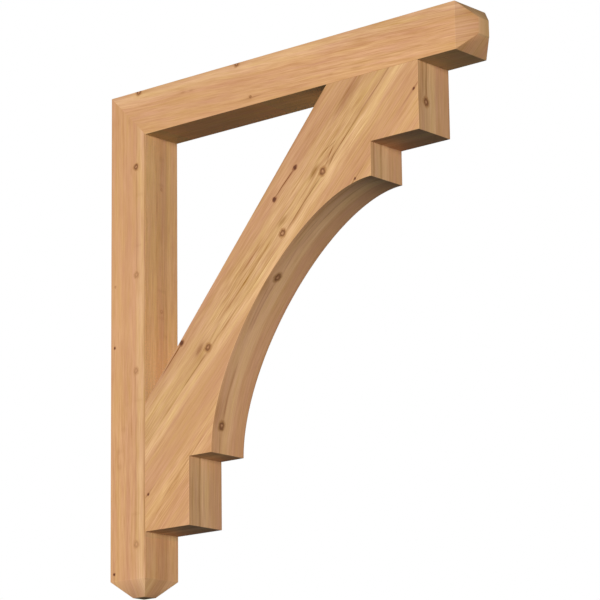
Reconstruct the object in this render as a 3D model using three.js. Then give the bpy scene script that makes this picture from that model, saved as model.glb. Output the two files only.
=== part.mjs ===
// A wooden corbel bracket in three pieces of square timber: a post that lies against the wall,
// an arm that reaches out from its head, mitred to it, and a brace sawn to an arch that carries
// the arm from below. The free ends of the post and the arm are cut to blunt four-sided points.
//
// Millimetres. X runs out from the wall, Y across the bracket and Z up. The wall is the plane
// X = 0, and the origin is the middle of the flat back of the post.

import * as THREE from "three";
import { ConvexGeometry } from "three/addons/geometries/ConvexGeometry.js";

// Timber sections. The three pieces are equally wide and flush on both sides.
const bracketWidth = 88.9;
const postDepth = 88.9;
const armDepth = 88.9;

// Overall reach and height, and the plain timber left beyond the brace.
const armReach = 863.6;
const postHeight = 965.2;
const armTail = 114.3;
const postTail = 114.3;

// Blunt points: how far the four faces come in, and over what length.
const armPointInset = 29.6;
const armPointLength = 29.6;
const postPointInset = 29.6;
const postPointLength = 29.6;

// Brace: the square block and small shoulder under the arm, then those on the post.
const headBlockHeight = 127;
const headBlockLength = 110.1;
const headShoulderDrop = 63.5;
const footBlockHeight = 127;
const footBlockLength = 110.1;
const footShoulderReach = 55;

// Brace: the two legs of the open triangle between it, the arm and the post.
const openingReach = 450.9;
const openingHeight = 520.7;

// The arch leaves level under the arm and lands upright at the post. Each of its two handles is
// this share of the arch's own reach or rise.
const archRoundness = 0.42;

// Faces that meet in a joint stand this far apart.
const jointGap = 0.3;

// Straight lengths that the arch is drawn with.
const archSteps = 56;

const braceReach = armReach - armTail - postDepth;
const braceHeight = postHeight - postTail - armDepth;
const flatBackHeight = postHeight - postPointLength;
const topZ = flatBackHeight / 2;

// The mitre runs from the top back edge to the inner corner. Half of the gap is taken from each
// piece, so along the post and along the arm each mitre lies back by this much.
const mitreLength = Math.hypot(postDepth, armDepth);
const postMitreSetback = (jointGap / 2) * (mitreLength / postDepth);
const armMitreSetback = (jointGap / 2) * (mitreLength / armDepth);

// Both side faces of a piece at one point of its outline, half a width either side of the middle.
function acrossWidth(x, z, halfWidth) {
  return [new THREE.Vector3(x, -halfWidth, z), new THREE.Vector3(x, halfWidth, z)];
}

// The post hangs down from its mitre, with Z = 0 at the top of the bracket.
function postShape() {
  const half = bracketWidth / 2;
  const pointStart = -(postHeight - postPointLength);
  return new ConvexGeometry([
    ...acrossWidth(0, -postMitreSetback, half),
    ...acrossWidth(postDepth, -armDepth - postMitreSetback, half),
    ...acrossWidth(0, pointStart, half),
    ...acrossWidth(postDepth, pointStart, half),
    ...acrossWidth(postPointInset, -postHeight, half - postPointInset),
    ...acrossWidth(postDepth - postPointInset, -postHeight, half - postPointInset),
  ]);
}

// The arm runs out from its mitre, with Z = 0 at the top of the bracket.
function armShape() {
  const half = bracketWidth / 2;
  const pointStart = armReach - armPointLength;
  return new ConvexGeometry([
    ...acrossWidth(armMitreSetback, 0, half),
    ...acrossWidth(postDepth + armMitreSetback, -armDepth, half),
    ...acrossWidth(pointStart, 0, half),
    ...acrossWidth(pointStart, -armDepth, half),
    ...acrossWidth(armReach, -armPointInset, half - armPointInset),
    ...acrossWidth(armReach, -armDepth + armPointInset, half - armPointInset),
  ]);
}

// The brace's side outline is drawn from the inner corner of post and arm: across is the distance
// out from the post, and down the depth below the arm.
function braceOutline() {
  const archTopAcross = braceReach - headBlockLength;
  const archTopDown = headBlockHeight + headShoulderDrop;
  const archFootAcross = footBlockLength + footShoulderReach;
  const archFootDown = braceHeight - footBlockHeight;
  const handleAcross = archRoundness * (archTopAcross - archFootAcross);
  const handleDown = archRoundness * (archFootDown - archTopDown);

  const outline = new THREE.Shape();
  outline.moveTo(openingReach, -jointGap);
  outline.lineTo(jointGap, -openingHeight);
  outline.lineTo(jointGap, -braceHeight);
  outline.lineTo(footBlockLength, -braceHeight);
  outline.lineTo(footBlockLength, -archFootDown);
  outline.lineTo(archFootAcross, -archFootDown);
  outline.bezierCurveTo(
    archFootAcross, -archFootDown + handleDown,
    archTopAcross - handleAcross, -archTopDown,
    archTopAcross, -archTopDown,
  );
  outline.lineTo(archTopAcross, -headBlockHeight);
  outline.lineTo(braceReach, -headBlockHeight);
  outline.lineTo(braceReach, -jointGap);
  outline.closePath();
  return outline;
}

// The outline is sawn through the width of the timber, and stood up so that its down is -Z.
function braceShape() {
  const shape = new THREE.ExtrudeGeometry(braceOutline(), {
    depth: bracketWidth,
    bevelEnabled: false,
    curveSegments: archSteps,
  });
  shape.translate(0, 0, -bracketWidth / 2);
  shape.rotateX(Math.PI / 2);
  return shape;
}

// Smooth-planed softwood, each stick cut from a slightly different board.
function timber(color) {
  return new THREE.MeshStandardMaterial({ color, roughness: 0.62, metalness: 0 });
}

function piece(name, geometry, color, x, z) {
  const mesh = new THREE.Mesh(geometry, timber(color));
  mesh.name = name;
  mesh.position.set(x, 0, z);
  return mesh;
}

const bracket = new THREE.Group();
bracket.name = "corbel_bracket";
bracket.add(
  piece("post", postShape(), 0xcf9c6f, 0, topZ),
  piece("arm", armShape(), 0xd2a073, 0, topZ),
  piece("brace", braceShape(), 0xd3a16f, postDepth, topZ - armDepth),
);

export default bracket;
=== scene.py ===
# %% [markdown]
# # A corbel bracket in cedar
# The bracket is three sticks of square timber: a post against the wall, an arm mitred to its head,
# and a brace sawn to an arch that holds the arm up. The solid model already says where each stick
# is, so this lesson is about dressing it: the same sticks made again with eased arrises and a
# smoother arch, and one wood finish that is grown from each stick's own grain.

# %% Load the solid model
import math

import bmesh
import bpy
from mathutils import Matrix, Vector


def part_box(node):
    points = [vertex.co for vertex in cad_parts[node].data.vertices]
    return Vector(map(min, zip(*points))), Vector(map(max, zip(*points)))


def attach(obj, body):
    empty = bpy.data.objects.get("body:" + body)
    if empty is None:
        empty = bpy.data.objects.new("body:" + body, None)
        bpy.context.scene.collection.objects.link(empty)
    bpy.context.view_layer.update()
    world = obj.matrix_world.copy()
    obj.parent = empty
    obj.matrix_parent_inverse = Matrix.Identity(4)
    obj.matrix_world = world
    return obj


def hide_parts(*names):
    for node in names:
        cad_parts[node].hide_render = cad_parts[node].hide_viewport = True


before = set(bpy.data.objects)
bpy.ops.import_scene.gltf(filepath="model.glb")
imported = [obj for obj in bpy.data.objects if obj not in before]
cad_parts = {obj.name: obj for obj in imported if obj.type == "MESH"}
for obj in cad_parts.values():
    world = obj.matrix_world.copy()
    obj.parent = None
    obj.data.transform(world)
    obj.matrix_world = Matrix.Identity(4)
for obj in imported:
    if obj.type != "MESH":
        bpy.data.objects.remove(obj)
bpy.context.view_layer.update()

# %% [markdown]
# ## Where the camera stands
# The photograph looks up at the bracket from in front and to one side, through a long lens, so its
# lines hardly converge. The place, the three turns and the lens were worked out together from the
# edges in the picture. A camera looks along its own -Z, so it is tipped up by 90 degrees first.

# %% Camera
camera_place = Vector((3.7557, -3.8764, -1.2327))
camera_turn = math.radians(40.604)
camera_tip = math.radians(13.626)
camera_lean = math.radians(-0.735)
lens_mm = 174.6
sight_m = 100

camera_data = bpy.data.cameras.new("camera")
camera_data.lens = lens_mm
camera_data.clip_end = sight_m
camera = bpy.data.objects.new("camera", camera_data)
camera.matrix_world = (
    Matrix.Translation(camera_place)
    @ Matrix.Rotation(camera_turn, 4, "Z")
    @ Matrix.Rotation(math.radians(90) + camera_tip, 4, "X")
    @ Matrix.Rotation(camera_lean, 4, "Z")
)
bpy.context.scene.collection.objects.link(camera)
bpy.context.scene.camera = camera
print("camera:", round(camera_place.length, 2), "m from the wall mount, lens", lens_mm, "mm")

# %% [markdown]
# ## Writing node trees as sums
# A node tree is a formula drawn with wires. It is easier to read as a formula, so one small class
# holds an output socket and turns plus, minus, times, divide and power into Math nodes. Everything
# else, such as noise or a colour ramp, is added by one method that takes the node's type, its
# settings and what goes into its sockets.

# %% Wires and trees
class Wire:
    """One output socket. Arithmetic on it adds Math nodes to the same tree."""

    def __init__(self, tree, socket):
        self.tree = tree
        self.socket = socket

    def math(self, operation, *values):
        """Adds a Math node for these values, in their order, and returns its result."""
        return self.tree.add("ShaderNodeMath", {"operation": operation}, dict(enumerate(values)))

    def __add__(self, other):
        return self.math("ADD", self, other)

    def __radd__(self, other):
        return self.math("ADD", other, self)

    def __sub__(self, other):
        return self.math("SUBTRACT", self, other)

    def __rsub__(self, other):
        return self.math("SUBTRACT", other, self)

    def __mul__(self, other):
        return self.math("MULTIPLY", self, other)

    def __rmul__(self, other):
        return self.math("MULTIPLY", other, self)

    def __truediv__(self, other):
        return self.math("DIVIDE", self, other)

    def __rtruediv__(self, other):
        return self.math("DIVIDE", other, self)

    def __neg__(self):
        return self.math("MULTIPLY", self, -1)

    def __abs__(self):
        return self.math("ABSOLUTE", self)

    def __pow__(self, other):
        return self.math("POWER", self, other)

    def output(self, key):
        """Another output of the same node."""
        return Wire(self.tree, self.socket.node.outputs[key])

    def at_least(self, other):
        return self.math("MAXIMUM", self, other)

    def at_most(self, other):
        return self.math("MINIMUM", self, other)


def set_stops(ramp, stops):
    """Fills a colour ramp from (place, colour) pairs, in order."""
    for element, (place, colour) in zip(ramp.elements, (stops[0], stops[-1])):
        element.position = place
        element.color = colour
    for place, colour in stops[1:-1]:
        ramp.elements.new(place).color = colour


class Tree:
    """A node tree that is built one node at a time."""

    def __init__(self, node_tree):
        self.nodes = node_tree.nodes
        self.links = node_tree.links

    def add(self, kind, settings=None, values=None, out=0):
        """Adds a node, sets it up, feeds its sockets, and returns one of its outputs."""
        node = self.nodes.new(kind)
        for name, setting in (settings or {}).items():
            if name == "stops":
                set_stops(node.color_ramp, setting)
            else:
                setattr(node, name, setting)
        for key, value in (values or {}).items():
            for one in value if isinstance(value, list) else [value]:
                if isinstance(one, Wire):
                    self.links.new(one.socket, node.inputs[key])
                else:
                    node.inputs[key].default_value = one
        return Wire(self, node.outputs[out]) if len(node.outputs) else node

    def vector(self, x, y, z):
        return self.add("ShaderNodeCombineXYZ", values={0: x, 1: y, 2: z})


def tint(red, green, blue):
    """A colour as a picture editor gives it, 0 to 255, turned into the light that nodes use."""
    shares = [channel / 255 for channel in (red, green, blue)]
    linear = [s / 12.92 if s <= 0.04045 else ((s + 0.055) / 1.055) ** 2.4 for s in shares]
    return (*linear, 1.0)


print("formula classes ready")

# %% [markdown]
# ## A timber with a blunt point
# The post and the arm are the same stick: square, mitred at one end, and cut at the other to a
# four-sided point with its tip left off. A Geometry Nodes tree says that rule once. A box is
# slid into a mitre at its foot, its far face is pushed out and shrunk, and the tree is used twice.
# Its sizes are inputs on the modifier, so nothing in it is fixed.

# %% Geometry Nodes helpers
def new_geometry_tree(name, sizes):
    """An empty Geometry Nodes tree with a material input and one named input for each size."""
    group = bpy.data.node_groups.new(name, "GeometryNodeTree")
    group.is_modifier = True
    group.interface.new_socket("Geometry", in_out="INPUT", socket_type="NodeSocketGeometry")
    group.interface.new_socket("Geometry", in_out="OUTPUT", socket_type="NodeSocketGeometry")
    for size in sizes:
        group.interface.new_socket(size, in_out="INPUT", socket_type="NodeSocketFloat")
    group.interface.new_socket("Finish", in_out="INPUT", socket_type="NodeSocketMaterial")
    tree = Tree(group)
    inputs = group.nodes.new("NodeGroupInput")
    wires = {socket.name: Wire(tree, socket) for socket in inputs.outputs if socket.name}
    return group, tree, wires


def end_tree(tree, geometry, finish):
    """Closes a tree: real geometry, one finish, and out."""
    real = tree.add("GeometryNodeRealizeInstances", values={"Geometry": geometry})
    dressed = tree.add("GeometryNodeSetMaterial", values={"Geometry": real, "Material": finish})
    tree.add("NodeGroupOutput", values={0: dressed})


def grow(name, group, sizes, finish):
    """Runs a tree once with these sizes and keeps what it makes as a plain mesh object."""
    seed = bpy.data.objects.new(name + "_seed", bpy.data.meshes.new(name + "_seed"))
    bpy.context.scene.collection.objects.link(seed)
    modifier = seed.modifiers.new(name, "NODES")
    modifier.node_group = group
    for item in group.interface.items_tree:
        if item.in_out == "INPUT" and item.name in sizes:
            modifier[item.identifier] = sizes[item.name]
        if item.in_out == "INPUT" and item.name == "Finish":
            modifier[item.identifier] = finish
    grown = seed.evaluated_get(bpy.context.evaluated_depsgraph_get())
    mesh = bpy.data.meshes.new_from_object(grown)
    bpy.data.objects.remove(seed)
    mesh.name = name
    piece = bpy.data.objects.new(name, mesh)
    bpy.context.scene.collection.objects.link(piece)
    return piece


# %% The timber's tree
TIMBER_SIZES = ["Width", "Depth", "Length", "Mitre", "Point inset", "Point length"]
FACING_AWAY = 0.9


def timber_tree():
    """The tree that makes a square timber, mitred at its foot and pointed at its far end."""
    group, tree, size = new_geometry_tree("blunt_pointed_timber", TIMBER_SIZES)
    body = size["Length"] - size["Point length"]
    box_size = tree.vector(size["Depth"], size["Width"], body)
    box = tree.add("GeometryNodeMeshCube", values={"Size": box_size})
    middle = tree.vector(size["Depth"] / 2, 0.0, body / 2)
    standing = tree.add("GeometryNodeTransform", values={"Geometry": box, "Translation": middle})

    place = tree.add("GeometryNodeInputPosition")
    across = tree.add("ShaderNodeSeparateXYZ", values={0: place})
    along = across.output("Z")
    at_foot = along.math("LESS_THAN", along, body / 2)
    slope = tree.vector(0.0, 0.0, across * size["Mitre"] / size["Depth"])
    mitred = tree.add(
        "GeometryNodeSetPosition",
        values={"Geometry": standing, "Selection": at_foot, "Offset": slope},
    )

    normal = tree.add("GeometryNodeInputNormal")
    facing = tree.add("ShaderNodeSeparateXYZ", values={0: normal}, out="Z")
    far_face = facing.math("GREATER_THAN", facing, FACING_AWAY)
    pushed = tree.add(
        "GeometryNodeExtrudeMesh",
        values={"Mesh": mitred, "Selection": far_face, "Offset Scale": size["Point length"]},
    )
    tip_share = 1 - 2 * size["Point inset"] / size["Width"]
    pointed = tree.add(
        "GeometryNodeScaleElements",
        values={"Geometry": pushed, "Selection": pushed.output("Top"), "Scale": tip_share},
    )
    end_tree(tree, pointed, size["Finish"])
    return group


blunt_timber = timber_tree()
print("timber tree:", len(blunt_timber.nodes), "nodes")

# %% [markdown]
# ## The arched brace
# A brace like this is marked out on the side of a wide plank and sawn. The tree does the same: it
# draws the outline as straight lines and one Bezier arch, joins them into a loop, fills it, and
# pushes it through the width of the timber. The arch leaves level and lands upright, so its two
# handles are a share of its own reach and drop.

# %% The brace's tree
BRACE_SIZES = [
    "Width", "Reach", "Height", "Opening reach", "Opening height",
    "Head block height", "Head block length", "Head shoulder drop",
    "Foot block height", "Foot block length", "Foot shoulder reach", "Roundness",
]
ARCH_STEPS = 120
WELD = 1e-5


def brace_tree():
    """The tree that saws the arched brace from its outline."""
    group, tree, size = new_geometry_tree("arched_brace", BRACE_SIZES)

    def point(across, down):
        return tree.vector(across, -down, 0.0)

    top_across = size["Reach"] - size["Head block length"]
    top_down = size["Head block height"] + size["Head shoulder drop"]
    foot_across = size["Foot block length"] + size["Foot shoulder reach"]
    foot_down = size["Height"] - size["Foot block height"]
    corners = [
        point(top_across, top_down),
        point(top_across, size["Head block height"]),
        point(size["Reach"], size["Head block height"]),
        point(size["Reach"], 0.0),
        point(size["Opening reach"], 0.0),
        point(0.0, size["Opening height"]),
        point(0.0, size["Height"]),
        point(size["Foot block length"], size["Height"]),
        point(size["Foot block length"], foot_down),
        point(foot_across, foot_down),
    ]
    edges = [
        tree.add("GeometryNodeCurvePrimitiveLine", values={"Start": start, "End": end})
        for start, end in zip(corners, corners[1:])
    ]
    top_handle = point(top_across - size["Roundness"] * (top_across - foot_across), top_down)
    foot_handle = point(foot_across, foot_down - size["Roundness"] * (foot_down - top_down))
    arch = tree.add(
        "GeometryNodeCurvePrimitiveBezierSegment",
        values={
            "Resolution": ARCH_STEPS,
            "Start": corners[0],
            "Start Handle": top_handle,
            "End Handle": foot_handle,
            "End": corners[-1],
        },
    )
    pencil = tree.add("GeometryNodeJoinGeometry", values={0: edges + [arch]})
    wire_frame = tree.add("GeometryNodeCurveToMesh", values={"Curve": pencil})
    loop = tree.add(
        "GeometryNodeMergeByDistance", values={"Geometry": wire_frame, "Distance": WELD}
    )
    outline = tree.add("GeometryNodeMeshToCurve", values={"Mesh": loop})
    flat = tree.add("GeometryNodeFillCurve", {"mode": "NGONS"}, {"Curve": outline})
    stood_up = tree.add(
        "GeometryNodeTransform",
        values={
            "Geometry": flat,
            "Translation": tree.vector(0.0, -size["Width"] / 2, 0.0),
            "Rotation": (math.radians(90), 0.0, 0.0),
        },
    )
    through = tree.add(
        "GeometryNodeExtrudeMesh",
        values={
            "Mesh": stood_up,
            "Offset": tree.vector(0.0, size["Width"], 0.0),
            "Offset Scale": 1.0,
            "Individual": False,
        },
    )
    closed = tree.add("GeometryNodeJoinGeometry", values={0: [stood_up, through]})
    welded = tree.add("GeometryNodeMergeByDistance", values={"Geometry": closed, "Distance": WELD})
    end_tree(tree, welded, size["Finish"])
    return group


arched_brace = brace_tree()
print("brace tree:", len(arched_brace.nodes), "nodes")

# %% [markdown]
# ## What planed cedar looks like
# Softwood grows a pale band in spring and a thin darker one in late summer. Sawn along the trunk,
# these rings show as long lines a few millimetres apart, drifting from cream through yellow to pink.
# Close up there are fibres, far finer than the lines. All of it is one idea at several sizes: noise
# that is stretched ten to sixty times longer along the grain than across it. Each stick gets its own
# axes, so the pattern runs along its own grain, and everything is measured in millimetres.

# %% Grain axes and streaks
MILLIMETRES = 1000
NOISE_MIDDLE = 0.5
NOISE_GAIN = 4
NOISE_ROUGHNESS = 0.55


def grain_axes(tree, stick):
    """Millimetres along the grain, across it on the show side, and deep into the stick."""
    place = tree.add("ShaderNodeTexCoord", out="Object")
    offset = tree.add(
        "ShaderNodeVectorMath", {"operation": "SUBTRACT"}, {0: place, 1: stick["start"]}
    )
    axes = [stick["grain"], stick["across"], Vector((0, 1, 0))]
    return [
        tree.add(
            "ShaderNodeVectorMath",
            {"operation": "DOT_PRODUCT"},
            {0: offset, 1: axis * MILLIMETRES},
            out="Value",
        )
        for axis in axes
    ]


def around_zero(noise):
    """Noise keeps mostly to 0.25 to 0.75. This spreads it over -1 to 1."""
    return (noise - NOISE_MIDDLE) * NOISE_GAIN


def streaks(tree, along, beside, length, spacing, layer, detail):
    """Noise of about -1 to 1 whose blotches are this long and lie this far apart."""
    place = tree.vector(along / length, beside / spacing, layer)
    noise = tree.add(
        "ShaderNodeTexNoise",
        {"noise_dimensions": "3D"},
        {"Vector": place, "Scale": 1.0, "Detail": detail, "Roughness": NOISE_ROUGHNESS},
    )
    return around_zero(noise)


def fade(tree, value, start, end):
    """A soft step: 0 until start, 1 from end on, in either direction."""
    return tree.add(
        "ShaderNodeMapRange",
        {"interpolation_type": "SMOOTHSTEP"},
        {"Value": value, "From Min": start, "From Max": end},
    )


print("grain helpers ready")

# %% [markdown]
# ## Knots
# A knot is the foot of a branch, cut through. From the middle out it has a pale pith, a brown
# heart, a dark rim of bark and resin, and a halo where the rim has stained the wood. The trunk's
# lines part and flow round it, just as water flows round a stone. So each knot here gives two
# things: how far away its rim is, which colours it, and a push that is taken from the grain's
# crosswise measure, which bends every line near it. The branch goes on into the wood for a way, so
# a knot near an arris shows on both faces.

# %% Knots and the flow round them
FAR = 99.0
BRANCH_END = 12.0
FLOW_SOFTNESS = 0.7
RIM_RAGGED = 0.14
DEPTH_RAGGED = 0.12
DISC_SHARE = 0.8
GONE_AT, FULL_AT = 1.7, 0.9


def knots(along, beside, buried, places):
    """Squared distance to the nearest rim, 1 at a rim, and the total push on the grain.

    Each knot: its place along and across, its half length and its half width."""
    nearest, push = FAR, 0.0
    for at, off, half_length, half_width in places:
        ahead = (along - at) / half_length
        aside = (beside - off) / half_width
        distance = ahead * ahead + aside * aside + buried
        push = push + aside * half_width / (distance + FLOW_SOFTNESS)
        nearest = distance.at_most(nearest)
    return nearest, push


def knot_colour(tree, base, nearest, crumbs, pith, heart, rim, halo, depth):
    """Paints the knots whose squared distance is given over a base colour."""
    reach = nearest**0.5 + crumbs * RIM_RAGGED
    disc = tree.add(
        "ShaderNodeValToRGB",
        {"stops": [(0.0, pith), (0.12, pith), (0.3, heart), (0.48, rim), (0.6, rim), (0.8, halo)]},
        {0: reach * DISC_SHARE},
    )
    shown = fade(tree, reach, GONE_AT, FULL_AT) * (depth + crumbs * DEPTH_RAGGED)
    return tree.add("ShaderNodeMix", {"data_type": "RGBA"}, {0: shown, 6: base, 7: disc}, out=2)


print("a knot shows out to", GONE_AT, "times its own size")

# %% [markdown]
# ## Single dark lines, stains and painted light tints
# A few marks are too plain to leave to chance: a late-wood line that runs from knot to knot, a
# smear of resin beside a knot, a cream patch, and one dark line that is painted shade along the
# brace's far arris. A line is thin across the grain and long along it, and a stain is a soft oval.
# Both are bell curves, which fade out with no edge. A painted light tint is a faint stretch of
# redder or greener colour on a low edge, with nearly hard ends. It is painted light, which evens
# out the tint that the lamps and their bounce give the low faces.

# %% Lines, stains and painted light tints
LINE_FADE = 16.0
PAINTED_TINT_FADE = 1.0


def bell(square):
    """1 at zero, falling softly to nothing. It is given the square of the distance."""
    return 1 / (1 + square * square)


def between(tree, along, start, end, soft):
    """1 from start to end and 0 outside, with a soft step at both."""
    begun = fade(tree, along, start - soft, start + soft)
    return begun * fade(tree, along, end + soft, end - soft)


def lines(tree, along, beside, marks):
    """Sum of thin lines. Each mark: from, to, crosswise place at both, half width, strength."""
    total = 0.0
    for start, end, first, last, half_width, strength in marks:
        slope = (last - first) / (end - start)
        centre = (along - start) * slope + first
        off = (beside - centre) / half_width
        total = total + bell(off * off) * between(tree, along, start, end, LINE_FADE) * strength
    return total


def stains(along, beside, marks):
    """Sum of soft ovals. Each mark: along, across, half length, half width, strength."""
    total = 0.0
    for at, off, half_length, half_width, strength in marks:
        ahead = (along - at) / half_length
        aside = (beside - off) / half_width
        total = total + bell(ahead * ahead + aside * aside) * strength
    return total


def painted_light_tints(tree, along, spans):
    """Sum of painted light tints on low faces. Each span: from, to, strength, below zero for
    greener.
    """
    total = 0.0
    for start, end, strength in spans:
        total = total + between(tree, along, start, end, PAINTED_TINT_FADE) * strength
    return total


print("a line fades over", 2 * LINE_FADE, "mm at each end, a blush over", 2 * PAINTED_TINT_FADE)

# %% [markdown]
# ## From a board to its patterns
# A board is a set of facts about one stick: where it starts, which way its grain runs, the tints
# that cross its sides and its edges, and its knots and marks. These helpers turn such facts into
# wires. Two noises come first: a slow one that makes a knot's outline ragged, and a quick one for
# the crumbs of colour that any planed wood has.

# %% Tints, face facts and rough noise
RAGGED = 6.0
BARK_SCALE = 0.14
CRUMB_SCALE = 0.5
CRUMB_STRETCH = 0.6


def bands(tree, beside, tints):
    """Tints across a board. Each is its place in millimetres and its colour."""
    first, last = tints[0][0], tints[-1][0]
    stops = [((place - first) / (last - first), colour) for place, colour in tints]
    return tree.add("ShaderNodeValToRGB", {"stops": stops}, {0: (beside - first) / (last - first)})


def face_fact(tree, name):
    """A number that each face was told when its stick was made."""
    return tree.add("ShaderNodeAttribute", {"attribute_name": name}, out="Fac")


def rough_noise(tree, along, across, deep):
    """Three slow wobbles in millimetres, and the crumbs, which run from about -1 to 1."""
    slow = tree.add(
        "ShaderNodeTexNoise",
        values={"Vector": tree.vector(along, across, deep), "Scale": BARK_SCALE, "Detail": 2.0},
        out="Color",
    )
    wobbles = [
        (tree.add("ShaderNodeSeparateXYZ", values={0: slow}, out=axis) - NOISE_MIDDLE) * RAGGED
        for axis in (0, 1, 2)
    ]
    crumb_place = tree.vector(along * CRUMB_STRETCH, across, deep)
    quick = tree.add(
        "ShaderNodeTexNoise", values={"Vector": crumb_place, "Scale": CRUMB_SCALE, "Detail": 1.0}
    )
    return wobbles, around_zero(quick)


print("outlines wobble by up to about", RAGGED / 2, "mm")

# %% Three looks of knot
KNOT_LOOKS = {
    "sound": {
        "pith": tint(192, 142, 102), "heart": tint(156, 104, 68), "rim": tint(128, 84, 52),
        "halo": tint(176, 126, 78), "depth": 0.92,
    },
    "dark": {
        "pith": tint(96, 56, 38), "heart": tint(104, 60, 40), "rim": tint(98, 56, 38),
        "halo": tint(150, 98, 66), "depth": 0.95,
    },
    "faint": {
        "pith": tint(200, 148, 106), "heart": tint(184, 132, 90), "rim": tint(156, 108, 70),
        "halo": tint(188, 138, 92), "depth": 0.6,
    },
}
print("knots can be", ", ".join(KNOT_LOOKS))

# %% The knots and marks of a board
BRANCH_LENGTH = 40.0
KNOT_SLANT = 0.15
LOW_EDGE_FADE = 20


def board_knots(board, along, across, deep, wobbles):
    """How far the knots of each look are, and the push of all of them on sides and on edges."""
    near_depth = (deep - BRANCH_LENGTH).at_least(0) / BRANCH_END
    far_depth = (board["width"] - BRANCH_LENGTH - deep).at_least(0) / BRANCH_END
    edge_depth = (board["edge_branch"] - across).at_least(0) / BRANCH_END
    slant = deep * KNOT_SLANT
    near_along, near_across = along + slant + wobbles[0], across + slant + wobbles[1]
    edge_along, edge_deep = along + wobbles[1], deep + wobbles[2]

    distances = {}
    side_push, edge_push = 0.0, 0.0
    for look in KNOT_LOOKS:
        at_near, at_far, at_edge = [board[where].get(look, []) for where in ("near", "far", "edge")]
        near, near_push = knots(near_along, near_across, near_depth, at_near)
        far, far_push = knots(along, across, far_depth, at_far)
        cut, cut_push = knots(edge_along, edge_deep, edge_depth, at_edge)
        side_push = side_push + near_push + far_push
        edge_push = edge_push + cut_push
        for one in (near, far, cut):
            if isinstance(one, Wire):
                distances[look] = one.at_most(distances.get(look, FAR))
    return distances, side_push, edge_push


def board_marks(tree, board, along, deep, side_grain, edge_grain, edge):
    """All lines and stains of a board. Those of its sides are on the near side alone."""
    on_side = lines(tree, along, side_grain, board["side_lines"])
    on_side = on_side + stains(along, side_grain, board["side_stains"])
    on_edge = lines(tree, along, edge_grain, board["edge_lines"])
    on_edge = on_edge + stains(along, edge_grain, board["edge_stains"])
    near_side = fade(tree, deep, board["width"] / 2, board["width"] / 4)
    return on_side * near_side * (1 - edge) + on_edge * edge


def board_painted_light_tint(tree, board, along, across, edge):
    """The painted light tints of a board, on its low edge alone."""
    low_from = board["edge_branch"] - LOW_EDGE_FADE
    low_edge = fade(tree, across, low_from, board["edge_branch"]) * edge
    return painted_light_tints(tree, along, board["painted_light_tints"]) * low_edge


print("branches go in for", BRANCH_LENGTH, "mm before they fade")

# %% [markdown]
# ## Figure and shade
# The figure is all that the grain draws. Each kind of streak has its length and its spacing in
# millimetres, a layer of its own in the noise and how fine its detail goes. Late wood is where the
# noise of a ring crosses zero, and the broad streaks say how bold it is. The weights in LIGHT and
# DARK then say how much each thing lightens or darkens the wood. Dark wood is redder wood, so a
# dark streak takes less from the red than from the green, and most from the blue. A cut across the
# grain shifts the colour in the same way.

# %% The figure of the grain
STREAKS = {
    "wander": (240, 70, 40, 2.0),
    "broad": (420, 24, 0, 2.0),
    "band": (100, 6, 7, 2.0),
    "fine": (40, 2.2, 13, 2.0),
    "fibre": (16, 0.5, 21, 1.0),
    "warmth": (130, 13, 29, 2.0),
    "ring": (420, 9, 33, 2.0),
    "thin ring": (260, 4.5, 37, 2.0),
    "glint": (40, 4, 45, 2.0),
}
RING_WIDTH = 0.24
THIN_RING_WIDTH = 0.30
RING_WEIGHT = 0.6
RING_SWING = 0.5
THIN_RING_SWING = 0.3
LATE_MIDDLE = 0.3
EDGE_SHIFT = 150.0


def streak(tree, board, kind, along, beside):
    """One kind of streak, in the layer of noise that it has on this board."""
    length, spacing, layer, detail = STREAKS[kind]
    return streaks(tree, along, beside, length, spacing, board["layer"] + layer, detail)


def figure(tree, board, along, side_rings, edge_grain, edge):
    """The streaks of a board by name, and its late wood."""
    beside = side_rings + (edge_grain + EDGE_SHIFT - side_rings) * edge
    broad = streak(tree, board, "broad", along, beside)
    beside = beside - along * board["slope"]
    kinds = ("band", "fine", "fibre", "warmth", "glint")
    grain = {kind: streak(tree, board, kind, along, beside) for kind in kinds}
    ring = fade(tree, abs(streak(tree, board, "ring", along, beside)), RING_WIDTH, 0.0)
    thin = fade(tree, abs(streak(tree, board, "thin ring", along, beside)), THIN_RING_WIDTH, 0.0)
    late = ring * (RING_WEIGHT + broad * RING_SWING)
    late = late + thin * (RING_WEIGHT - broad * THIN_RING_SWING) - LATE_MIDDLE
    return {**grain, "broad": broad, "late": late}


print(len(STREAKS), "kinds of streak, and edges read the noise", EDGE_SHIFT, "mm from the sides")

# %% The shade of the wood
# The eased weight in LIGHT paints the eased arrises lighter: paler sanded wood and a painted
# highlight along each arris.
LIGHT = {"broad": 0.06, "band": 0.08, "fine": 0.12, "fibre": 0.03, "eased": 0.06, "crumbs": 0.018}
DARK = {"late": 0.11, "marks": 0.65, "marks, all colours": 0.3}
RED = {"tone": 0.7, "ends": 0.885}
GREEN = {"warmth": 0.03, "glint": 0.015}
BLUE = {"tone": 1.35, "ends": 1.16, "warmth": 0.08, "glint": 0.05}


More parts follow.
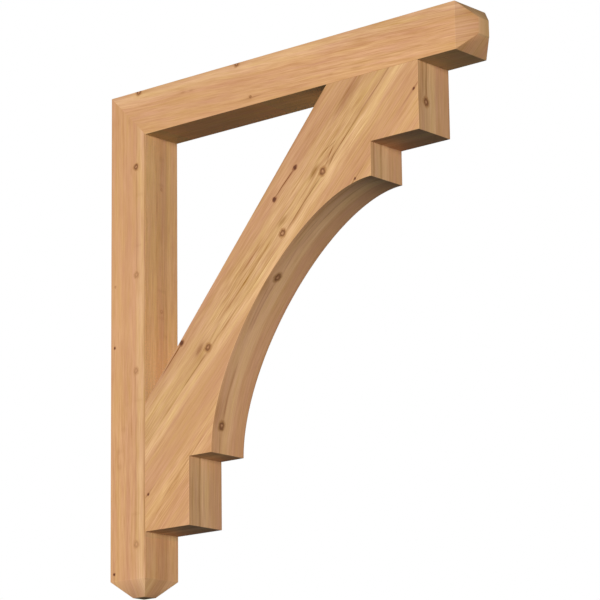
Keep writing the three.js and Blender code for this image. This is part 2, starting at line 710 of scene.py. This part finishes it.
def shade(tree, grain, vigour, marks, crumbs, eased, ends, painted_light_tint):
    """The shares of red, green and blue that are left of the wood's tint."""
    bold = grain["band"] * LIGHT["band"] + grain["fine"] * LIGHT["fine"]
    bold = bold - grain["late"] * DARK["late"]
    tone = grain["broad"] * LIGHT["broad"] + bold * vigour + grain["fibre"] * LIGHT["fibre"]
    tone = tone + eased * LIGHT["eased"] + crumbs * LIGHT["crumbs"] - marks * DARK["marks"]
    even = 1 - marks * DARK["marks, all colours"]
    # The painted light tint goes into the red share alone. It is painted light, not wood colour.
    red = even - ends * RED["ends"] + tone * RED["tone"] + painted_light_tint
    green = even - ends + tone + grain["warmth"] * GREEN["warmth"] + grain["glint"] * GREEN["glint"]
    blue = even - ends * BLUE["ends"] + tone * BLUE["tone"]
    blue = blue - grain["warmth"] * BLUE["warmth"] - grain["glint"] * BLUE["glint"]
    return tree.vector(red, green, blue)


print("a streak weighs", RED["tone"], "in red, 1 in green and", BLUE["tone"], "in blue")

# %% [markdown]
# ## One cedar finish
# Now the finish itself. Knots push the grain aside first, and every streak is laid on the pushed
# grain. A side shows the rings across the board, and an edge shows them through it, so each has its
# own tints, and a face attribute says which of them a face wears. The colour is a tint times a
# shade, with the knots painted on top, and the same streaks set the gloss and the faint relief.

# %% The cedar finish
RING_SLANT = 0.35
EDGE_WANDER = 1.5
ROUGH = {"planed": 0.56, "fibre": 0.04, "late": 0.05, "eased": 0.08}
RELIEF = {"fibre": 0.5, "fine": 0.5, "late": 0.6}
GRAIN_DEPTH = 0.0002


def cedar(name, board):
    """The finish of one board, as a material."""
    material = bpy.data.materials.new(name)
    material.use_nodes = True
    material.node_tree.nodes.clear()
    tree = Tree(material.node_tree)
    along, across, deep = grain_axes(tree, board)
    edge, end_cut, eased = [face_fact(tree, fact) for fact in ("edge_face", "end_cut", "eased")]
    wobbles, crumbs = rough_noise(tree, along, across, deep)
    distances, side_push, edge_push = board_knots(board, along, across, deep, wobbles)

    wander = streak(tree, board, "wander", along, across)
    side_grain = across - side_push + wander * board["wander"]
    edge_grain = deep - edge_push + wander * EDGE_WANDER
    side_rings = side_grain + deep * RING_SLANT
    grain = figure(tree, board, along, side_rings, edge_grain, edge)
    vigour = 1 + stains(along, side_grain, board["vigour"]) * (1 - edge)
    marks = board_marks(tree, board, along, deep, side_grain, edge_grain, edge)
    ends = end_cut * (board["side_end"] + edge * (board["edge_end"] - board["side_end"]))
    # Painted light: a red or green tint on the low faces that evens out how the lamps tint them.
    painted_light_tint = board_painted_light_tint(tree, board, along, across, edge)

    sides = bands(tree, side_rings, board["side_tints"])
    edges = bands(tree, edge_grain, board["edge_tints"])
    base = tree.add("ShaderNodeMix", {"data_type": "RGBA"}, {0: edge, 6: sides, 7: edges}, out=2)
    share = shade(tree, grain, vigour, marks, crumbs, eased, ends, painted_light_tint)
    colour = tree.add("ShaderNodeVectorMath", {"operation": "MULTIPLY"}, {0: base, 1: share})
    for look, distance in distances.items():
        colour = knot_colour(tree, colour, distance, crumbs, **KNOT_LOOKS[look])

    fibre, fine, late = grain["fibre"], grain["fine"], grain["late"]
    roughness = ROUGH["planed"] + fibre * ROUGH["fibre"] - late * ROUGH["late"]
    relief = fibre * RELIEF["fibre"] + fine * RELIEF["fine"] - late * RELIEF["late"]
    bump = tree.add(
        "ShaderNodeBump", values={"Height": relief, "Distance": GRAIN_DEPTH, "Strength": 0.3}
    )
    surface = tree.add(
        "ShaderNodeBsdfPrincipled",
        values={
            "Base Color": colour,
            "Roughness": roughness - eased * ROUGH["eased"],
            "Normal": bump,
            "IOR": 1.5,
            "Specular IOR Level": 0.3,
        },
    )
    tree.add("ShaderNodeOutputMaterial", values={"Surface": surface})
    print(name, len(tree.nodes), "nodes")
    return material


# %% [markdown]
# ## The three boards
# Post and arm are milled from one kind of stock: a cream strip along one side and pinker wood in
# the middle. The post has a darker heart down its edges. The brace is sawn from a wide plank whose
# grain lies at 45 degrees, because short grain at either end would split off. It shows a row of big
# sound knots, with a late-wood line that runs from one to the next.
#
# Every place is in millimetres, along the grain from the stick's start and then across it. The
# layer picks a patch of noise for the stick, wander says how far its grain drifts, and slope how
# much its finer streaks lean. Vigour above zero makes the grain bolder, and below zero fainter. In
# marks and cut ends, a strength above zero darkens and one below zero lightens. The knots of an
# edge come in from the low edge as far as edge_branch, and the painted light tints, which are
# painted light and not wood colour, keep to that edge too.

# %% Where each stick starts, from the solid model
post_low, post_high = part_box("post")
arm_low, arm_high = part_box("arm")
brace_low, brace_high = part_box("brace")
width = arm_high.y - arm_low.y
top_back = Vector((post_low.x, arm_low.y, arm_high.z))
inner_corner = Vector((post_high.x, arm_low.y, arm_low.z))
print("width", round(width, 4), "m, inner corner at", [round(value, 4) for value in inner_corner])

# %% Board of the post
post_board = {
    "start": top_back,
    "grain": Vector((0, 0, -1)),
    "across": Vector((1, 0, 0)),
    "width": width * MILLIMETRES,
    "layer": 3.0,
    "wander": 1.5,
    "slope": 0.0,
    "vigour": [(710, 30, 110, 30, 0.3), (260, 40, 130, 60, -0.45)],
    "side_end": -0.25,
    "edge_end": -0.16,
    "edge_branch": 50.0,
    "side_tints": [
        (0, tint(210, 160, 115)), (14, tint(212, 162, 113)), (28, tint(213, 163, 115)),
        (42, tint(209, 158, 114)), (62, tint(210, 159, 115)), (71, tint(215, 169, 122)),
        (79, tint(222, 177, 130)), (88, tint(208, 162, 116)), (120, tint(213, 164, 117)),
    ],
    "edge_tints": [
        (0, tint(211, 165, 115)), (24, tint(213, 169, 117)), (33, tint(204, 157, 107)),
        (47, tint(199, 152, 108)), (58, tint(200, 154, 106)), (64, tint(213, 168, 117)),
        (88, tint(214, 168, 119)),
    ],
    "near": {
        "sound": [(149, 65, 6, 5.5)],
        "dark": [(493, 10, 2.3, 2.0), (922, 10, 2.5, 2.2)],
        "faint": [
            (361, 66, 5.8, 5.2), (545, 66, 5.8, 5.2), (872, 66, 6.2, 5.6), (375, 11, 2.6, 2.2),
        ],
    },
    "far": {"sound": [(262, 30, 8, 7)], "faint": [(640, 52, 6, 5)], "dark": [(770, 20, 3.2, 2.8)]},
    "edge": {"faint": [(189, 45, 3.2, 2.8), (428, 45, 3.4, 3.0)]},
    "side_lines": [
        (165, 350, 66, 66, 1.2, 0.22), (548, 862, 64, 66, 1.3, 0.20),
        (20, 900, 87.2, 87.2, 1.6, 0.30), (60, 140, 67, 66, 0.8, 0.10),
        (480, 520, 10, 10, 1.0, 0.14), (890, 935, 10, 10, 1.0, 0.14),
    ],
    "side_stains": [
        (55, 47, 7, 2.5, 0.16), (154, 53, 9, 3, 0.10), (205, 74, 3, 9, 0.07),
        (304, 73, 2.5, 8, 0.08), (602, 72, 3, 10, 0.07), (606, 43, 5, 5, 0.07),
        (653, 36, 5, 6, 0.08), (693, 24, 5, 7, 0.11), (722, 24, 6, 6, 0.12),
        (815, 64, 3, 12, 0.08), (860, 52, 8, 3, 0.08), (170, 72, 14, 5, -0.06),
        (340, 72, 18, 5, -0.06), (565, 72, 18, 5, -0.06), (855, 74, 16, 5, -0.06),
        (430, 50, 70, 45, -0.05), (70, 18, 70, 16, 0.05), (720, 18, 200, 14, -0.05),
    ],
    "edge_lines": [(0, 960, 32, 32, 0.9, 0.05), (0, 960, 57, 58, 1.0, 0.06)],
    "edge_stains": [
        (129, 44, 5, 8, 0.06), (181, 44, 3, 8, 0.10), (285, 44, 16, 4, 0.07),
        (388, 44, 3, 10, 0.08), (441, 44, 3, 10, 0.08), (475, 55, 4, 4, 0.12),
        (560, 44, 80, 44, -0.05),
    ],
    # Painted light: a redder tint on the front of the post's foot.
    "painted_light_tints": [(860, 970, 0.08)],
}
print("post:", len(post_board["side_stains"]), "stains on its side")

# %% Board of the arm
arm_board = {
    "start": top_back,
    "grain": Vector((1, 0, 0)),
    "across": Vector((0, 0, -1)),
    "width": width * MILLIMETRES,
    "layer": 11.0,
    "wander": 2.2,
    "slope": 0.05,
    "vigour": [(650, 50, 150, 50, 0.4)],
    "side_end": 0.39,
    "edge_end": -0.06,
    "edge_branch": 50.0,
    "side_tints": [
        (0, tint(209, 163, 118)), (3, tint(212, 166, 120)), (10, tint(220, 175, 128)),
        (19, tint(217, 170, 124)), (32, tint(211, 160, 115)), (58, tint(211, 161, 116)),
        (88, tint(213, 163, 114)), (120, tint(212, 163, 117)),
    ],
    "edge_tints": [
        (0, tint(212, 165, 114)), (30, tint(209, 161, 111)), (46, tint(212, 168, 117)),
        (60, tint(209, 163, 114)), (88, tint(213, 167, 117)),
    ],
    "near": {"sound": [(72, 2, 6.2, 5.4), (323, 2, 5.8, 5.0), (357, 72, 3.4, 2.4)]},
    "far": {"sound": [(455, 50, 8, 7)], "dark": [(700, 20, 3.4, 3)]},
    "edge": {"faint": [(640, 40, 7, 6)]},
    "side_lines": [
        (70, 110, 3, 3, 1.5, 0.14), (300, 350, 3, 3, 1.5, 0.12), (335, 385, 73, 72, 1.0, 0.28),
        (175, 225, 28, 28, 1.0, 0.10), (440, 560, 56, 62, 1.0, 0.08),
        (560, 760, 66, 64, 1.1, 0.12), (620, 700, 60, 57, 1.0, 0.08),
        (650, 800, 68, 70, 1.0, 0.09),
    ],
    "side_stains": [
        (188, 28, 5, 2.2, 0.14), (208, 28, 5, 2.2, 0.14), (357, 72, 12, 4, 0.08),
        (470, 80, 28, 5, 0.07), (551, 72, 5, 2.5, 0.10), (612, 73, 14, 3.5, 0.16),
        (700, 12, 160, 20, 0.13), (455, 20, 60, 15, -0.10), (700, 62, 190, 26, -0.04),
        (55, 18, 34, 10, -0.08), (345, 14, 20, 7, -0.06), (480, 22, 10, 4, -0.05),
        (25, 40, 22, 60, -0.02),
    ],
    "edge_lines": [(80, 840, 20, 22, 1.0, 0.05), (80, 840, 60, 57, 1.2, 0.06)],
    "edge_stains": [(400, 50, 60, 8, 0.04)],
    # Painted light under the arm: greener spans take out the warm tint that the light gives the
    # underside, and a redder one is on the lower bevel of the point.
    "painted_light_tints": [(0, 130, -0.14), (380, 541, -0.12), (749, 790, -0.08), (834, 861, 0.11)],
}
print("arm:", len(arm_board["side_stains"]), "stains on its side")

# %% Board of the brace
DIAGONAL = math.sqrt(0.5)
brace_board = {
    "start": inner_corner,
    "grain": Vector((DIAGONAL, 0, DIAGONAL)),
    "across": Vector((DIAGONAL, 0, -DIAGONAL)),
    "width": width * MILLIMETRES,
    "layer": 23.0,
    "wander": 1.3,
    "slope": 0.0,
    "vigour": [
        (-60, 410, 110, 34, 1.1), (270, 412, 70, 34, 1.2), (-370, 412, 60, 30, 0.4),
        (-400, 530, 120, 20, 0.8), (130, 400, 60, 30, 0.8), (-250, 478, 170, 28, -0.35),
    ],
    "side_end": 0.0,
    "edge_end": 0.0,
    "edge_branch": 440.0,
    "side_tints": [
        (318, tint(208, 160, 112)), (345, tint(204, 156, 113)), (362, tint(201, 152, 110)),
        (385, tint(211, 166, 118)), (409, tint(210, 166, 115)), (425, tint(211, 167, 117)),
        (433, tint(224, 180, 129)), (443, tint(225, 181, 130)), (453, tint(210, 162, 115)),
        (495, tint(207, 157, 112)), (520, tint(218, 171, 119)), (560, tint(209, 158, 112)),
        (650, tint(212, 164, 117)),
    ],
    "edge_tints": [
        (0, tint(207, 159, 111)), (20, tint(205, 160, 116)), (32, tint(213, 168, 120)),
        (46, tint(221, 176, 127)), (54, tint(208, 159, 113)), (88, tint(208, 158, 114)),
    ],
    "near": {
        "sound": [(-199, 424, 7.6, 6.6), (60, 424, 7.4, 6.4), (197, 424, 7.8, 6.6)],
        "dark": [
            (94, 364, 4.6, 3.8), (165, 364, 4.8, 3.8), (-232, 364, 5.0, 4.0),
            (230, 496, 2.4, 2.1), (424, 496, 2.6, 2.2), (-485, 496, 2.6, 2.2),
        ],
    },
    "far": {
        "sound": [(-60, 408, 9, 8), (330, 430, 8, 7)],
        "dark": [(-300, 470, 4.5, 4), (120, 372, 4.5, 4)],
    },
    "edge": {"sound": [(-15, 24, 8.4, 7.4), (-293, 23, 6.8, 7), (415, 22, 5.4, 6.6)]},
    "side_lines": [
        (-420, -300, 427, 427, 1.2, 0.18), (-290, -212, 427, 427, 1.2, 0.46),
        (75, 185, 427, 427, 1.2, 0.60), (80, 150, 431, 431, 1.0, 0.20),
        (212, 232, 428, 425, 1.3, 0.52), (222, 440, 425, 421, 1.2, 0.42),
        (100, 160, 365, 365, 1.0, 0.90), (-300, -236, 367, 365, 1.0, 0.76),
        (-350, -300, 380, 383, 1.2, 0.16), (-130, 20, 394, 397, 1.3, 0.22),
        (-150, 30, 412, 411, 1.1, 0.18), (-150, 20, 429, 433, 1.3, 0.24),
        (-420, -300, 452, 452, 1.2, 0.14), (-470, -330, 531, 528, 1.2, 0.20),
        (203, 230, 401, 403, 0.8, 0.44), (228, 252, 403, 410, 0.8, 0.48),
        (214, 250, 421, 411, 0.8, 0.50), (50, 310, 340.7, 322.4, 3.4, 0.19),
        (-190, -150, 420, 413, 1.2, 0.22), (-190, -140, 427, 430, 1.2, 0.20),
        (230, 420, 399, 400, 1.0, 0.07), (205, 260, 496, 496, 1.0, 0.36),
        (385, 450, 496, 496, 1.0, 0.34), (-500, -465, 495, 496, 1.0, 0.34),
        (240, 400, 458, 458, 1.0, 0.07), (290, 380, 371, 371, 1.6, 0.12),
        (20, 300, 393, 393, 4.0, -0.10), (-400, -250, 394, 394, 4.0, -0.06),
    ],
    "side_stains": [
        (-214, 410, 13, 4.2, 0.52), (76, 409, 13, 4, 0.40), (185, 409, 13, 4.2, 0.52),
        (-225, 424, 14, 4, 0.10), (335, 378, 50, 9, 0.28), (-400, 409, 20, 6, 0.10),
        (-120, 369, 140, 8, 0.03), (-60, 351, 120, 8, -0.07), (262, 330, 44, 6, 0.06),
        (-15, 449, 65, 5, -0.24), (100, 421, 36, 5, -0.12), (130, 358, 24, 7, -0.12),
        (75, 436, 14, 6, -0.10), (208, 436, 14, 6, -0.10), (-180, 440, 16, 6, -0.08),
        (-170, 404, 14, 5, -0.06), (290, 520, 60, 12, -0.05), (-440, 520, 60, 12, -0.04),
        (50, 372, 60, 8, -0.03),
    ],
    "edge_lines": [
        (55, 230, 30, 30, 1.8, 0.22), (0, 55, 30, 25, 1.3, 0.20), (-120, -28, 26, 25, 1.6, 0.34),
        (-280, -190, 24, 26, 2.0, 0.36), (-350, -305, 24, 21, 1.6, 0.30),
        (-120, -30, 19, 16, 1.4, 0.22), (20, 120, 16, 20, 1.4, 0.18),
        (60, 254, 10, 11, 1.4, 0.18), (420, 500, 23, 25, 1.5, 0.55),
        (425, 500, 14, 13, 1.6, 0.22), (240, 310, 30, 30, 2.6, 0.32),
        (254, 330, 10, 9, 1.5, 0.26), (-540, -360, 29, 29, 2.4, 0.34),
        # The long line 87 mm deep, from -560 to 540, is painted shade along the far arris of the
        # edges.
        (-540, -400, 10, 10, 1.4, 0.16), (-560, 540, 87, 87, 2.4, 0.15),
        (-450, -372, 37, 36, 1.3, -0.16), (-455, -380, 43, 43, 1.0, 0.14),
        (-450, -375, 50, 51, 1.5, -0.12), (-455, -385, 57, 57, 0.9, 0.12),
    ],
    "edge_stains": [
        (-35, 6, 16, 7, 0.20), (-275, 9, 22, 9, 0.24), (420, 6, 10, 6, 0.16),
        (-60, 10, 260, 5.5, 0.10), (10, 30, 14, 8, -0.05), (-310, 34, 10, 7, -0.06),
        (300, 60, 60, 20, 0.04), (-60, 30, 250, 60, -0.17), (-120, 20, 220, 22, -0.08),
        (276, 68, 30, 26, -0.07), (314, 46, 14, 40, 0.09), (-524, 40, 12, 40, 0.08),
    ],
    # Painted light: redder spans along the arch, which the lamps leave paler than the fronts.
    "painted_light_tints": [(-332, 254, 0.06), (299, 377, 0.08), (-539, -461, 0.05)],
}
print("brace:", len(brace_board["side_stains"]), "stains on its side")

# %% Mix the three finishes
post_cedar = cedar("post_cedar", post_board)
arm_cedar = cedar("arm_cedar", arm_board)
brace_cedar = cedar("brace_cedar", brace_board)

# %% [markdown]
# ## Putting the sticks together
# Each stick is grown once from its tree, with sizes read from the solid model where that has them,
# and its turn and place are put into its mesh. Then its arrises, the sharp long edges, are eased by
# about half a millimetre, as a woodworker does with a few strokes of sandpaper. That is what makes
# a real edge catch a thin line of light. Only the arrises of the mitre stay sharp, because it is
# cut clean and should close without a gap. Each face is also told whether it is a side or an edge
# of the stick, and how far it cuts across the grain, for the finish to read.

# %% Grow and place the three sticks
POINT = 0.0296
timber = {
    "Width": width,
    "Depth": post_high.x - post_low.x,
    "Mitre": arm_high.z - arm_low.z,
    "Point inset": POINT,
    "Point length": POINT,
}
post_sizes = {**timber, "Length": arm_high.z - post_low.z}
arm_sizes = {**timber, "Length": arm_high.x - post_low.x}
brace_sizes = {
    "Width": width,
    "Reach": brace_high.x - post_high.x,
    "Height": arm_low.z - brace_low.z,
    "Opening reach": 0.4509,
    "Opening height": 0.5207,
    "Head block height": 0.127,
    "Head block length": 0.1101,
    "Head shoulder drop": 0.0635,
    "Foot block height": 0.127,
    "Foot block length": 0.1101,
    "Foot shoulder reach": 0.055,
    "Roundness": 0.42,
}

post = grow("cedar_post", blunt_timber, post_sizes, post_cedar)
arm = grow("cedar_arm", blunt_timber, arm_sizes, arm_cedar)
brace = grow("cedar_brace", arched_brace, brace_sizes, brace_cedar)

head = Vector((post_low.x, 0, arm_high.z))
corner = Vector((post_high.x, 0, arm_low.z))
post.data.transform(Matrix.Translation(head) @ Matrix.Rotation(math.pi, 4, "X"))
arm.data.transform(Matrix.Translation(head) @ Matrix.Rotation(math.pi / 2, 4, "Y"))
brace.data.transform(Matrix.Translation(corner))
for piece in (post, arm, brace):
    print(piece.name, len(piece.data.vertices), "points before easing")

# %% Ease the arrises and mark the faces
EASING = 0.0006
SHARP_TURN = math.radians(15)
MITRE_FACING = Vector((1, 0, 1)).normalized()
MITRE_NEAR = 0.001
EDGE_TILT = 0.5
LITRES = 1000


def in_mitre(edge):
    """True where both ends of an edge lie in the mitre."""
    return all(abs((end.co - top_back).dot(MITRE_FACING)) < MITRE_NEAR for end in edge.verts)


def ease_and_mark(piece, grain):
    """Eases the arrises, tells each face what it is, and returns the volume in cubic metres."""
    mesh = bmesh.new()
    mesh.from_mesh(piece.data)
    bmesh.ops.recalc_face_normals(mesh, faces=mesh.faces)
    eased = mesh.faces.layers.float.new("eased")
    edge_face = mesh.faces.layers.float.new("edge_face")
    end_cut = mesh.faces.layers.float.new("end_cut")
    arrises = [
        edge for edge in mesh.edges
        if edge.calc_face_angle(0) > SHARP_TURN and edge.is_convex and not in_mitre(edge)
    ]
    cut = bmesh.ops.bevel(
        mesh, geom=arrises, offset=EASING, offset_type="OFFSET", segments=2, profile=0.5,
        affect="EDGES", clamp_overlap=True, material=-1,
    )
    for face in cut["faces"]:
        face[eased] = 1.0
    mesh.normal_update()
    for face in mesh.faces:
        face[edge_face] = 1.0 if abs(face.normal.y) < EDGE_TILT else 0.0
        face[end_cut] = abs(face.normal.dot(grain))
        face.smooth = True
    for edge in mesh.edges:
        edge.smooth = edge.calc_face_angle(0) < SHARP_TURN
    volume = mesh.calc_volume(signed=True)
    mesh.to_mesh(piece.data)
    mesh.free()
    return volume


for piece, board in ((post, post_board), (arm, arm_board), (brace, brace_board)):
    litres = ease_and_mark(piece, board["grain"]) * LITRES
    print(piece.name, len(piece.data.polygons), "faces,", round(litres, 3), "litres of wood")

# %% Tie the pieces to the solid model
for piece, node in ((post, "post"), (arm, "arm"), (brace, "brace")):
    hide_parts(node)
    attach(piece, "root")
    print(piece.name, "stands for", node)

# %% [markdown]
# ## Light and floor
# In the photograph the side is brightest, the fronts are two thirds as bright, and the undersides
# are dark. So the key light comes level, from beside the camera and a little to its left. It is
# slightly warm. There is only a little light from all round, and that is on the cool side, because
# warm light from the wood itself is added to it in the corners. A second light from behind and
# above hardly touches what the camera sees, but keeps the back and the top readable, and a weak
# third one does that for the far side. Neither of the two shows as gloss. The bracket hangs on a
# wall above the viewer, so the floor lies well below, and it throws no light up on the undersides.

# %% Lights
SUNS = {
    "key_light": {
        "comes_from": Vector((0.56, -0.90, -0.015)), "brightness": 1.10, "softness": 14,
        "colour": (1.04, 1.0, 0.98), "glossy": True,
    },
    "back_light": {
        "comes_from": Vector((-0.60, 0.60, 0.53)), "brightness": 1.0, "softness": 8,
        "colour": (1, 1, 1), "glossy": False,
    },
    "far_light": {
        "comes_from": Vector((0, 1, 0)), "brightness": 0.4, "softness": 10,
        "colour": (1, 1, 1), "glossy": False,
    },
}


def sun(name, comes_from, brightness, softness, colour, glossy):
    """A far light. At brightness 1 it lights a facing surface to its full colour.

    Its softness is how wide it looks from the bracket, in degrees."""
    data = bpy.data.lights.new(name, "SUN")
    data.energy = brightness * math.pi
    data.angle = math.radians(softness)
    data.color = colour
    light = bpy.data.objects.new(name, data)
    light.rotation_euler = comes_from.to_track_quat("Z", "Y").to_euler()
    light.visible_glossy = glossy
    bpy.context.scene.collection.objects.link(light)
    print(name, "brightness", brightness, "softness", softness, "degrees")


for name, facts in SUNS.items():
    sun(name, **facts)

# %% Light from all round
ALL_ROUND = 0.075
COOL_AIR = (0.62, 0.92, 1.02, 1.0)
WHITE = (1, 1, 1, 1)

world = bpy.data.worlds.new("white_studio")
world.use_nodes = True
world.node_tree.nodes.clear()
sky = Tree(world.node_tree)
seen = sky.add("ShaderNodeLightPath", out="Is Camera Ray")
tone_of_air = sky.add(
    "ShaderNodeMix", {"data_type": "RGBA"}, {0: seen, 6: COOL_AIR, 7: WHITE}, out=2
)
air = sky.add(
    "ShaderNodeBackground",
    values={"Color": tone_of_air, "Strength": ALL_ROUND + seen * (1 - ALL_ROUND)},
)
sky.add("ShaderNodeOutputWorld", values={"Surface": air})
bpy.context.scene.world = world
bpy.context.scene.view_settings.view_transform = "Standard"
print("light from all round:", ALL_ROUND)

# %% Floor
FLOOR_LEVEL = -4.5
FLOOR_HALF = 14.0
FLOOR_ROUGH = 0.7
MOTTLE_ROUGH = 0.1

floor_mesh = bpy.data.meshes.new("studio_floor")
corners = [(-1, -1), (1, -1), (1, 1), (-1, 1)]
floor_mesh.from_pydata(
    [(x * FLOOR_HALF, y * FLOOR_HALF, FLOOR_LEVEL) for x, y in corners], [], [(0, 1, 2, 3)]
)
floor = bpy.data.objects.new("studio_floor", floor_mesh)
bpy.context.scene.collection.objects.link(floor)
floor.visible_diffuse = False
floor.visible_glossy = False

floor_paint = bpy.data.materials.new("pale_floor_paint")
floor_paint.use_nodes = True
floor_paint.node_tree.nodes.clear()
paint = Tree(floor_paint.node_tree)
spot = paint.add("ShaderNodeTexCoord", out="Object")
mottle = paint.add("ShaderNodeTexNoise", values={"Vector": spot, "Scale": 3.0, "Detail": 3.0})
pale = paint.add(
    "ShaderNodeValToRGB",
    {"stops": [(0.3, tint(246, 245, 243)), (0.7, tint(251, 250, 248))]},
    {0: mottle},
)
matt = paint.add(
    "ShaderNodeBsdfPrincipled",
    values={"Base Color": pale, "Roughness": FLOOR_ROUGH + mottle * MOTTLE_ROUGH},
)
paint.add("ShaderNodeOutputMaterial", values={"Surface": matt})
floor_mesh.materials.append(floor_paint)
print("floor", 2 * FLOOR_HALF, "m square at", FLOOR_LEVEL, "m")
